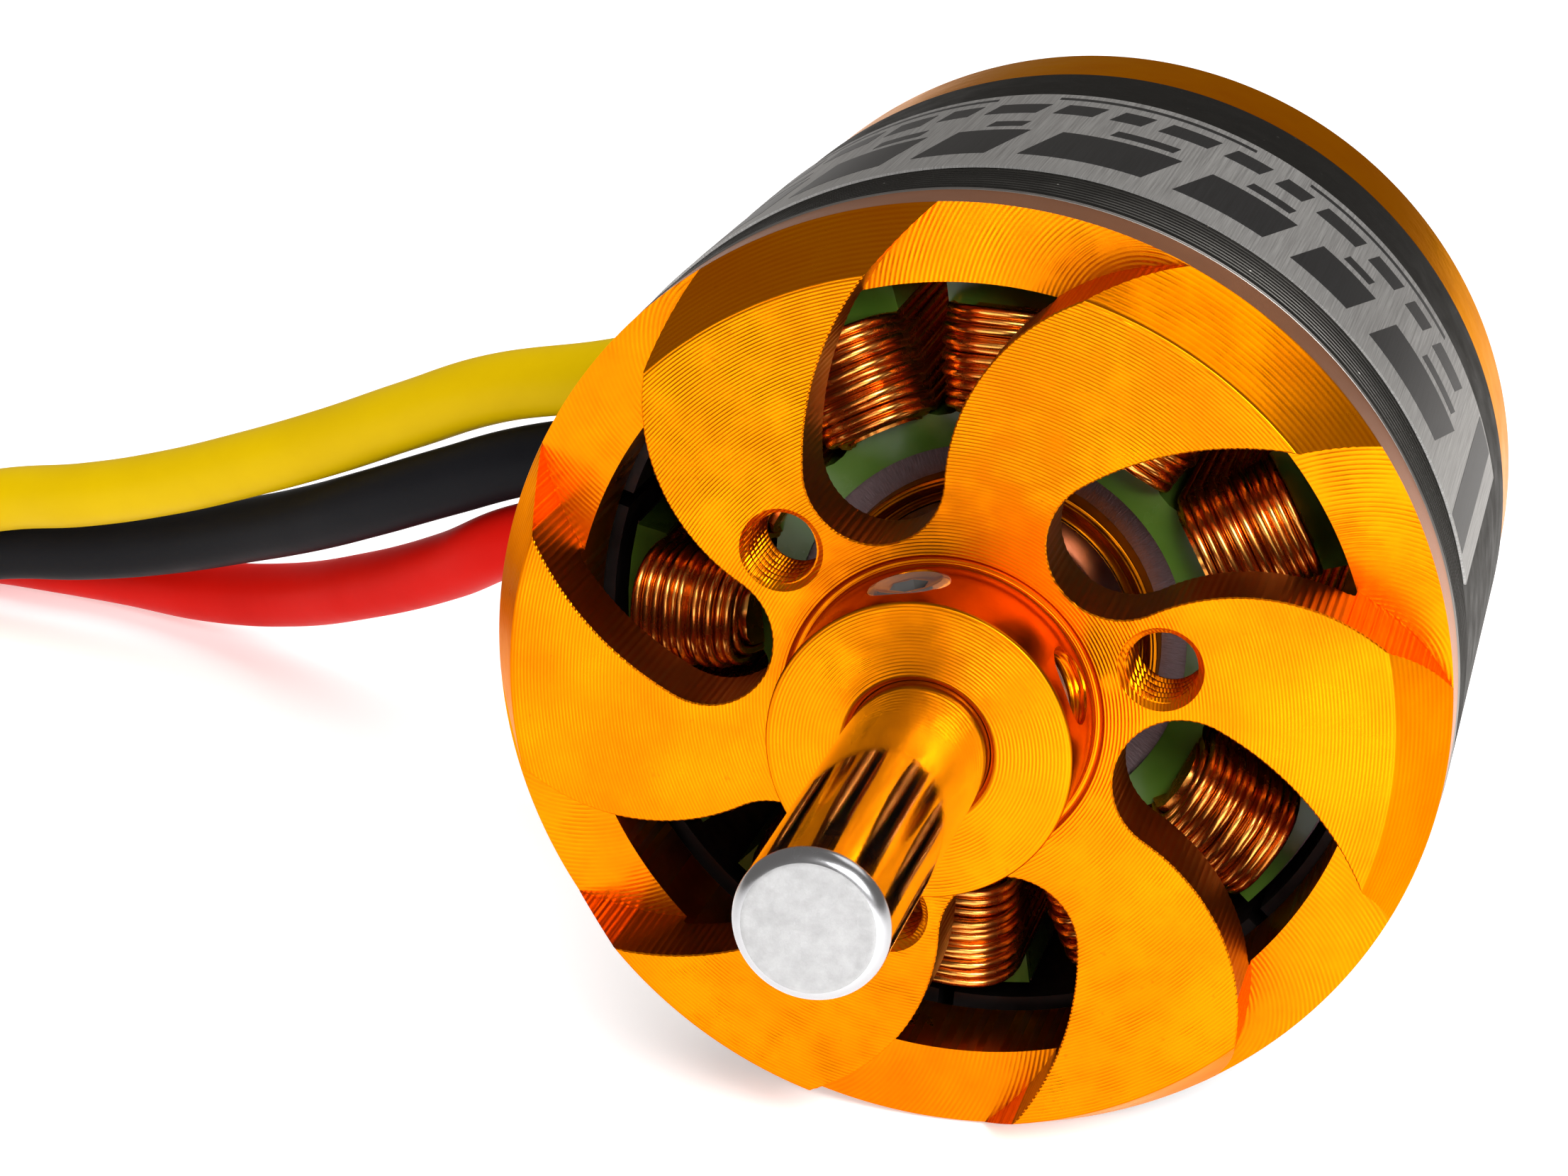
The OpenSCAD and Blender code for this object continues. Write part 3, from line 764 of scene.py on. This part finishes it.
def bell_surface(polygon):
    """Which of the bell's materials a face has, from where it lies and faces."""
    middle, facing = polygon.center, polygon.normal
    out = math.hypot(middle.x, middle.y)
    upright = abs(facing.z) < 0.3
    swirl = facing.y * middle.x - facing.x * middle.y
    if abs(middle.z - POCKET_FLOOR_Z) < 0.01 and facing.z > 0.9:
        return MILLED
    if upright and out > RIM_R - 0.1:
        return RIM
    # the hub's side and its groove take the darker hub gold: painted shade
    if facing.z < 0.8 and HUB_R - 0.05 < out < GROOVE_R and middle.z > FACE_Z - 1:
        return HUB
    # the hollow behind the disc and the window walls take the dark wall gold: painted shade in these
    # recesses
    if out < CUP_R - 0.05 and middle.z < FACE_Z - DISC_T - 0.05:
        return WALL
    wall_r = FACE_R + 0.12 if swirl < 0 else CUP_R - 0.05
    if upright and 6 < out < wall_r and middle.z < FACE_Z - 0.1:
        return WALL
    return TURNED


def front_bell(mats):
    """The slotted disc with its hub, its boss behind and the spigot that the can sits on."""
    disc_z = FACE_Z - DISC_T
    boss_r, boss_z = 4.2, FACE_Z - 6.8
    spigot_z = CAN_FRONT_Z - 1.85
    profile = fillet([
        (SHAFT_R + 0.01, boss_z), (boss_r, boss_z, 0.2), (boss_r, disc_z, 0.3), (CUP_R, disc_z, 0.3),
        (CUP_R, spigot_z, 0.1), (SPIGOT_R, spigot_z, 0.1), (SPIGOT_R, CAN_FRONT_Z),
        (RIM_R, CAN_FRONT_Z, 0.05), (RIM_R, FACE_Z - POCKET_D, 0.12), (FACE_R, FACE_Z - 0.02, 0.16),
        (15.55, FACE_Z), (5.95, FACE_Z), (5.78, FACE_Z, 0.05), (5.66, FACE_Z - 0.16, 0.05),
        (5.46, FACE_Z - 0.16, 0.08), (HUB_R, FACE_Z, 0.1), (HUB_R, HUB_TOP_Z, 0.16),
        (HUB_R - 0.4, HUB_TOP_Z), (SHAFT_R + 0.5, HUB_TOP_Z), (SHAFT_R + 0.22, HUB_TOP_Z, 0.05),
        (SHAFT_R + 0.01, HUB_TOP_Z - 0.25)])
    body = lathe("bell", profile, 288)
    outline = pocket_outline()
    cutters = []
    for k in range(6):
        pocket = prism("pocket", outline, POCKET_FLOOR_Z, FACE_Z + 1, 0.03, FACE_Z - 0.02)
        cutters.append(moved(pocket, about_z(POCKET_A + 60 * k)))
    bolt_r = MOUNTS["front_bolts"]["dims"]["pcd_mm"] / 2
    sinks = []
    for k in range(3):
        turn = about_z(FRONT_TAP_A + 120 * k)
        tap = screw_cutter("tap", M3_R, M3_THREAD, M3_PITCH, 4.6)
        cutters.append(moved(tap, turn @ Matrix.Translation((bolt_r, 0, FACE_Z - 4))))
        sink = cylinder_cutter("sink", 1.30, 1.62, -0.22, 0.1)
        sinks.append(moved(sink, turn @ Matrix.Translation((bolt_r, 0, FACE_Z))))
    cut(body, cutters)
    for degrees in GRUB_ANGLES:
        tap = screw_cutter("grub_tap", M3_R, 0.2, M3_PITCH, 4.0)
        sinks.append(moved(tap, grub_axis(degrees, SHAFT_R - 0.2)))
    cut(body, sinks)
    which = [bell_surface(polygon) for polygon in body.data.polygons]
    settle(body, "rotor", mats, "front_bell", 26, which)


def shaft(mats):
    """The steel shaft, with the clip groove at the rear and a rounded, dull front end."""
    clip_z, clip_r = 1.5, 2.0
    profile = fillet([
        (0, SHAFT_REAR_Z), (SHAFT_R, SHAFT_REAR_Z, 0.3), (SHAFT_R, clip_z), (clip_r, clip_z),
        (clip_r, clip_z + 0.5), (SHAFT_R, clip_z + 0.5), (SHAFT_R, 20), (SHAFT_R, HUB_TOP_Z),
        (SHAFT_R, 50)])
    nose, flat_r = 0.5, 2.0
    steps = 12
    for i in range(steps + 1):
        a = math.pi / 2 * i / steps
        profile.append((flat_r + (SHAFT_R - flat_r) * math.cos(a), SHAFT_TOP_Z - nose + nose * math.sin(a)))
    profile += [(flat_r - 0.03, SHAFT_TOP_Z), (0.9, SHAFT_TOP_Z), (0, SHAFT_TOP_Z)]
    rod = lathe("shaft_rod", profile, 192)
    nose_low, flat_low = SHAFT_TOP_Z - nose, SHAFT_TOP_Z - 0.02
    which = [(p.center.z > nose_low) + (p.center.z > flat_low) for p in rod.data.polygons]
    settle(rod, "rotor", mats, "shaft", 30, which)


def can(mats):
    """The black tube, with fine grooves round its front end."""
    outer = []
    grooves, pitch, width, depth = 8, 0.37, 0.17, 0.1
    top = CAN_FRONT_Z - 0.5
    for i in range(grooves):
        high = top - i * pitch
        outer += [(CAN_R, high, 0.02), (CAN_R - depth, high - width * 0.3, 0.02),
                  (CAN_R - depth, high - width * 0.7, 0.02), (CAN_R, high - width, 0.02)]
    bore_r = SPIGOT_R + 0.01
    profile = fillet([(bore_r, CAN_FRONT_Z), (CAN_R, CAN_FRONT_Z, 0.12)] + outer
                     + [(CAN_R, FACE_Z - 24.0), (CAN_R, CAN_REAR_Z, 0.1), (bore_r, CAN_REAR_Z)], 3)
    tube = lathe("can_tube", profile, 288)
    which = [int(p.center.z > CAN_FRONT_Z - 0.13) for p in tube.data.polygons]
    settle(tube, "rotor", mats, "flux_can", 40, which)


def rear_ring(mats):
    """The gold ring behind the can, with its spigot inside."""
    bore_r = 15.7
    gap_z = CAN_REAR_Z - 0.12
    lip_z = CAN_REAR_Z + 1.8
    profile = fillet([
        (bore_r, RING_REAR_Z, 0.1), (RING_R, RING_REAR_Z, 0.3), (RING_R, gap_z, 0.3), (16.6, gap_z),
        (SPIGOT_R, CAN_REAR_Z), (SPIGOT_R, lip_z, 0.1), (bore_r, lip_z, 0.1)])
    settle(lathe("ring_trim", profile, 288), "rotor", mats, "rear_ring", 30)


def wrapped(name, patches, low_r, high_r):
    """Thin patches on the can. Each is a list of (angle, z) corners: bottom pair, then top pair."""
    rows = 5
    verts, faces = [], []
    for (a0, z0), (a1, z1), (a2, z2), (a3, z3) in patches:
        steps = max(2, int(abs(a1 - a0) / 1.5))
        first = len(verts)
        for row in range(rows + 1):
            up = row / rows
            for i in range(steps + 1):
                t = i / steps
                low = Vector((a0 + (a1 - a0) * t, z0 + (z1 - z0) * t))
                high = Vector((a3 + (a2 - a3) * t, z3 + (z2 - z3) * t))
                degrees, z = low.lerp(high, up)
                for radius in (low_r, high_r):
                    flat = polar(radius, degrees)
                    verts.append((flat.x, flat.y, z))

        def corner(row, i, side):
            return first + 2 * (row * (steps + 1) + i) + side

        for i in range(steps):
            for row in range(rows):
                square = [(row, i), (row, i + 1), (row + 1, i + 1), (row + 1, i)]
                faces.append(tuple(corner(r, c, 1) for r, c in square))
                faces.append(tuple(corner(r, c, 0) for r, c in square[::-1]))
            low_edge = [(0, i, 0), (0, i + 1, 0), (0, i + 1, 1), (0, i, 1)]
            high_edge = [(rows, i, 1), (rows, i + 1, 1), (rows, i + 1, 0), (rows, i, 0)]
            faces += [tuple(corner(*at) for at in edge) for edge in (low_edge, high_edge)]
        for row in range(rows):
            start = [(row, 0, 1), (row + 1, 0, 1), (row + 1, 0, 0), (row, 0, 0)]
            end = [(row, steps, 0), (row + 1, steps, 0), (row + 1, steps, 1), (row, steps, 1)]
            faces += [tuple(corner(*at) for at in edge) for edge in (start, end)]
    return mesh_object(name, verts, faces)


def label(foil_mats, print_mats):
    """Foil round most of the can, with rows of plain printed blocks."""
    low_z, high_z = reach("label_band")
    start, end = 10.4, 292.0
    band = wrapped("label_foil", [[(start, low_z), (end, low_z), (end, high_z), (start, high_z)]],
                   CAN_R + 0.012, CAN_R + 0.10)
    settle(band, "rotor", foil_mats, "label_band", 40)

    def block(a0, a1, z0, z1, slant=0.0):
        return [(a0, z0), (a1, z0), (a1 + slant, z1), (a0 + slant, z1)]

    width = high_z - low_z
    patches = [block(start + 3.5, start + 8.5, low_z + 0.3, high_z - 0.3)]
    at = start + 13
    for k in range(12):
        long = (15, 9, 12)[k % 3]
        patches.append(block(at, at + long, low_z + width * 0.52, low_z + width * 0.84, 3.0))
        patches.append(block(at + 1, at + long * 0.6, low_z + width * 0.40, low_z + width * 0.47, 0.6))
        at += long + 4
    at = start + 14
    for k in range(22):
        long = (6.5, 4.0, 5.0)[k % 3]
        patches.append(block(at, at + long, low_z + width * 0.15, low_z + width * 0.28, 1.2))
        at += long + 2.2
    for k in range(5):
        at = start + 20 + 34 * k
        patches.append(block(at, at + 26, low_z + width * 0.05, low_z + width * 0.08))
    ink = wrapped("label_print", patches, CAN_R + 0.06, CAN_R + 0.108)
    settle(ink, "rotor", print_mats, None, 40)


def grub_screws(mats):
    """Two set screws with hexagon sockets."""
    parts = []
    for degrees, length in zip(GRUB_ANGLES, (2.82, 2.2)):
        profile = fillet([
            (0, 0.05), (1.1, 0.05), (1.47, 0.4, 0.1), (1.47, length - 0.1, 0.12), (1.2, length, 0.05),
            (0.9, length - 0.12), (0, length - 0.12)])
        body = lathe("screw", profile, 48)
        hexagon = [tuple(polar(0.72, 60 * i)) for i in range(6)]
        cut(body, [prism("socket", hexagon, length - 1.3, length + 0.5)])
        parts.append(moved(body, grub_axis(degrees, SHAFT_R)))
    settle(join("grub_screw_pair", parts), "rotor", mats, "grub_screws", 30)


# ---- Still pieces --------------------------------------------------------------------

def motor_base(mats):
    """The rear plate with its vents, lead notch and taps, and the bearing tube."""
    plate_t, foot_r, foot_z = 3.6, 8.0, 5.2
    lip_z, bearing_z, rear_seat_z = TUBE_FRONT_Z - 0.35, FACE_Z - 13.2, 7.4
    waist_r = 4.6
    body = lathe("base_plate", fillet([
        (TUBE_BORE_R, 0, 0.2), (BASE_R, 0, 0.3), (BASE_R, plate_t, 0.3), (foot_r, plate_t, 0.3),
        (foot_r, foot_z, 0.3), (TUBE_R, foot_z, 0.3), (TUBE_R, 12), (TUBE_R, TUBE_FRONT_Z, 0.08),
        (6.12, TUBE_FRONT_Z), (5.85, TUBE_FRONT_Z - 0.3), (TUBE_BORE_R, lip_z, 0.05),
        (TUBE_BORE_R, bearing_z), (waist_r, bearing_z), (waist_r, rear_seat_z),
        (TUBE_BORE_R, rear_seat_z)]), 192)
    cutters = []
    vent_r, vent_w, vent_a = 12.4, 1.1, 26
    for degrees in (-90, 0, 90):
        outer = arc(Vector((0, 0)), vent_r + vent_w, -vent_a, vent_a, 0.5)
        cap_a = arc(polar(vent_r, vent_a), vent_w, vent_a, vent_a + 180, 0.15)
        inner = arc(Vector((0, 0)), vent_r - vent_w, vent_a, -vent_a, 0.5)
        cap_b = arc(polar(vent_r, -vent_a), vent_w, 180 - vent_a, 360 - vent_a, 0.15)
        outline = outer + cap_a[1:] + inner[1:] + cap_b[1:-1]
        cutters.append(moved(prism("vent", [tuple(p) for p in outline], -1, 4.6), about_z(degrees)))
    notch = [(-20, -6), (-9.4, -6, 0.8), (-9.4, 6, 0.8), (-20, 6)]
    cutters.append(prism("notch", fillet(notch), -1, 4.7))
    bolt_r = MOUNTS["rear_bolts"]["dims"]["pcd_mm"] / 2
    taps, sinks = [], []
    for degrees in (45, 135, 225, 315):
        turn = about_z(degrees)
        tap = screw_cutter("tap", M3_R, M3_THREAD, M3_PITCH, 4.6)
        taps.append(moved(tap, turn @ Matrix.Translation((bolt_r, 0, -0.3))))
        sink = cylinder_cutter("sink", 1.65, 1.28, -0.1, 0.25)
        sinks.append(moved(sink, turn @ Matrix.Translation((bolt_r, 0, 0))))
    cut(body, cutters)
    cut(body, taps)
    cut(body, sinks)
    # faces above the foot, the bearing tube, take the darker tube gold: painted shade deep inside the motor
    which = [int(p.center.z > foot_z + 0.1) for p in body.data.polygons]
    settle(body, "stator", mats, "motor_base", 28, which)


def tooth_outline(grow):
    """The laminations' outline, widened by grow in the slots, anticlockwise from the first tooth."""
    out = []
    neck, yoke_r, tip_in, tip_a = 1.3 + grow, 8.5 + grow, 12.75 - grow, 10.7
    fillet_r = 0.5
    for k in range(TEETH):
        points = [polar(CORE_R - 0.08, a) for a in (-tip_a, -tip_a / 2, 0, tip_a / 2, tip_a)]
        points.append(polar(tip_in + 0.12, tip_a))
        points.append(Vector((math.sqrt(tip_in ** 2 - neck ** 2) - 0.55, neck)))
        root = math.sqrt(yoke_r ** 2 - neck ** 2)
        points.append(Vector((root + fillet_r, neck)))
        points.append(Vector((root + fillet_r * 0.3, neck + fillet_r * 0.28)))
        half = 180 / TEETH
        points.append(polar(yoke_r, half - 1.6))
        points.append(polar(yoke_r, half + 1.6))
        mirrored = [Vector((p.x, -p.y)) for p in points[5:9]][::-1]
        turn = Matrix.Rotation(math.radians(TOOTH_A + 360 / TEETH * k), 2)
        following = Matrix.Rotation(math.radians(TOOTH_A + 360 / TEETH * (k + 1)), 2)
        out += [tuple(turn @ p) for p in points]
        out += [tuple(following @ p) for p in mirrored]
    return out


def insulation(name, node, low, high, mats):
    """One half of the green coat round the core, with soft edges."""
    body = prism(name, tooth_outline(0.1), low, high)
    bore_r = 7.39
    cut(body, [cylinder_cutter("bore", bore_r, bore_r, low - 1, high + 1, 128)])
    rounding = body.modifiers.new("rounding", "BEVEL")
    rounding.width = 0.3
    rounding.segments = 4
    rounding.limit_method = "ANGLE"
    rounding.angle_limit = math.radians(50)
    bake_modifiers(body)
    settle(body, "stator", mats, node, 50)


def tube_mesh(verts, faces, path, radius, sides=8):
    """Adds a round wire along a path."""
    first = len(verts)
    count = len(path)
    for i, point in enumerate(path):
        along = (path[min(i + 1, count - 1)] - path[max(i - 1, 0)]).normalized()
        side = along.cross(Vector((1, 0, 0.001))).normalized()
        top = along.cross(side)
        for k in range(sides):
            a = 2 * math.pi * k / sides
            verts.append(tuple(point + radius * (math.cos(a) * side + math.sin(a) * top)))
    for i in range(count - 1):
        for k in range(sides):
            a, b = first + i * sides + k, first + i * sides + (k + 1) % sides
            faces.append((a, b, b + sides, a + sides))
    faces.append(tuple(first + k for k in range(sides - 1, -1, -1)))
    faces.append(tuple(first + (count - 1) * sides + k for k in range(sides)))


WIRE_R = 0.185


def turn_point(x, phase, half_w, half_h, arch, lean=0.0):
    """A point of one turn of wire round a tooth: straight sides and arched ends. phase runs from 0 to 4."""
    leg, t = int(phase) % 4, phase % 1.0
    if leg == 0:
        return Vector((x, half_w, -half_h + 2 * half_h * t))
    if leg == 2:
        return Vector((x, -half_w, half_h - 2 * half_h * t))
    a = math.pi * t
    power = 0.80
    wide = math.copysign(abs(math.cos(a)) ** power, math.cos(a)) * half_w
    rise = math.sin(a) ** power
    high = half_h + arch * rise
    x += lean * rise
    return Vector((x, wide, high)) if leg == 1 else Vector((x, -wide, -high))


def coil_layer(verts, faces, rng, x_from, x_to, turns, width_at, arch, half_h):
    """A layer of wire wound from one end of the tooth to the other."""
    path = []
    arch_steps, leg_steps = 14, 3
    phases = []
    for leg in range(4):
        steps = leg_steps if leg % 2 == 0 else arch_steps
        phases += [leg + i / steps for i in range(steps)]
    jitter = [rng.uniform(-0.05, 0.05) for _ in range(turns + 1)]
    lift = [rng.uniform(-0.10, 0.10) for _ in range(turns + 1)]
    for n in range(turns):
        for phase in phases:
            share = (n + phase / 4) / turns
            blend = phase / 4
            x = x_from + (x_to - x_from) * share + jitter[n] * (1 - blend) + jitter[n + 1] * blend
            up = lift[n] * (1 - blend) + lift[n + 1] * blend
            path.append(turn_point(x, phase, width_at(x), half_h, arch + up, 0.55))
    tube_mesh(verts, faces, path, WIRE_R)


def coil(verts, faces, rng):
    """The wire on one tooth, in the tooth's own frame: x outwards, z along the motor.

    A plain core fills the inside, then come two full layers and a few crossing turns.
    """
    def under_width(x):
        return 1.55 + (x - 8) * 0.08

    def over_width(x):
        return min(1.98, x * math.tan(math.radians(15)) - 0.28) + max(0, x - 9) * 0.06

    half_h = (STACK_FRONT_Z - STACK_REAR_Z) / 2 + 0.5
    sides = 24
    ring = [turn_point(0, 4 * i / sides, 1.4, half_h, 1.5, 0.4) for i in range(sides)]
    for x in (8.5, 12.45):
        verts.extend(tuple(Vector((x, 0, 0)) + p) for p in ring)
    for i in range(sides):
        j = (i + 1) % sides
        faces.append((i, j, sides + j, sides + i))
    faces.append(tuple(range(sides - 1, -1, -1)))
    faces.append(tuple(range(sides, 2 * sides)))
    coil_layer(verts, faces, rng, 8.6, 12.5, 11, under_width, 1.85, half_h)
    coil_layer(verts, faces, rng, 12.55, 8.65, 11, over_width, 2.30, half_h)
    start = rng.uniform(9.3, 10.0)
    coil_layer(verts, faces, rng, start, start + 2.2, 4, lambda x: over_width(x) + 0.12, 2.62, half_h)


def windings(mats):
    """Four coils a phase: two neighbours and the two across from them."""
    for first, name in ((0, "winding_a"), (2, "winding_b"), (4, "winding_c")):
        parts = []
        for k in (0, 1, 6, 7):
            rng = random.Random(100 * first + k)
            verts, faces = [], []
            coil(verts, faces, rng)
            part = mesh_object("coil", verts, faces)
            turn = about_z(TOOTH_A + 360 / TEETH * (first + k))
            parts.append(moved(part, turn @ Matrix.Translation((0, 0, STACK_MIDDLE_Z))))
        settle(join(name + "_wire", parts), "stator", mats, name, 60)


def carried_over(materials):
    """CAD nodes that stay, each with its own material and softly broken edges."""
    for name, material in materials.items():
        node = frame["nodes"][name]
        node.data.materials.clear()
        node.data.materials.append(material)
        rounding = node.modifiers.new("rounding", "BEVEL")
        rounding.width = 0.06 * MM
        rounding.segments = 2
        rounding.limit_method = "ANGLE"
        rounding.angle_limit = math.radians(40)
        rounding.harden_normals = False
        node.modifiers.new("normals", "WEIGHTED_NORMAL")


def main():
    camera()
    plate = steel("gold_plate", (0.95, 0.62, 0.22), 0.2)
    yellow = silicone("yellow_silicone", (0.60, 0.40, 0.0), (0.50, 0.32, 0.0))
    black = silicone("black_silicone", (0.005, 0.005, 0.006), (0.010, 0.010, 0.012))
    red = silicone("red_silicone", (0.68, 0.007, 0.003), (0.54, 0.005, 0.002))
    yellow_shrink = silicone("yellow_shrink", (0.75, 0.50, 0.01), (0.6, 0.4, 0.01), 0.5)
    black_shrink = silicone("black_shrink", (0.012, 0.012, 0.013), (0.025, 0.025, 0.026), 0.5)
    red_shrink = silicone("red_shrink", (0.5, 0.01, 0.012), (0.4, 0.01, 0.01), 0.5)
    lead("yellow", YELLOW, yellow, yellow_shrink, plate)
    lead("black", BLACK, black, black_shrink, plate)
    lead("red", RED, red, red_shrink, plate)
    studio()

    # the window walls, the hollow behind the disc and the hub's side get darker gold: painted shade
    front_bell([gold("gold_turned"), gold_milled("gold_milled"), window_wall_painted_shade(), rim(),
                gold("gold_hub_painted_shade", shade=0.5)])
    shaft([steel("shaft_steel", (0.62, 0.61, 0.62), 0.08), steel("shaft_nose", (0.42, 0.42, 0.43), 0.24),
           shaft_end_steel()])
    can([can_black(), steel("can_edge", (0.32, 0.30, 0.28), 0.35)])
    # the ring's gold is darkened by shade=0.8: painted shade
    rear_ring([gold("gold_ring_painted_shade", 0.22, shade=0.8)])
    label([foil("label_foil", (0.62, 0.61, 0.59), (0.36, 0.35, 0.34), 0.38)],
          [foil("label_ink", (0.055, 0.055, 0.058), (0.035, 0.035, 0.037), 0.30)])
    grub_screws([steel("grub_steel", (0.42, 0.40, 0.38), 0.14, metal=0.88)])
    # the bearing tube's gold is darkened by shade=0.3: painted shade
    motor_base([gold("gold_base"), gold("gold_tube_painted_shade", shade=0.3)])
    green = epoxy()
    insulation("epoxy_front", "insulation_front", STACK_MIDDLE_Z, reach("insulation_front")[1], [green])
    insulation("epoxy_rear", "insulation_rear", reach("insulation_rear")[0], STACK_MIDDLE_Z, [green])
    windings([copper()])
    bearing = steel("bearing_steel", (0.62, 0.63, 0.65), 0.15)
    shield = steel("shield_steel", (0.35, 0.33, 0.34), 0.22)
    cage = steel("cage_brass", (0.65, 0.45, 0.15), 0.3)
    looks = {"stator_core": laminations(), "magnets": steel("magnet_black", (0.045, 0.035, 0.033), 0.5)}
    for end in ("front", "rear"):
        for name in ("outer_race", "inner_race", "balls"):
            looks[end + "_" + name] = bearing
        looks[end + "_cage"] = cage
        looks[end + "_shields"] = shield
    looks["thrust_washers"] = bearing
    looks["e_clip"] = steel("clip_steel", (0.12, 0.12, 0.13), 0.3)
    looks["solder_sleeves"] = black_shrink
    carried_over(looks)


main()
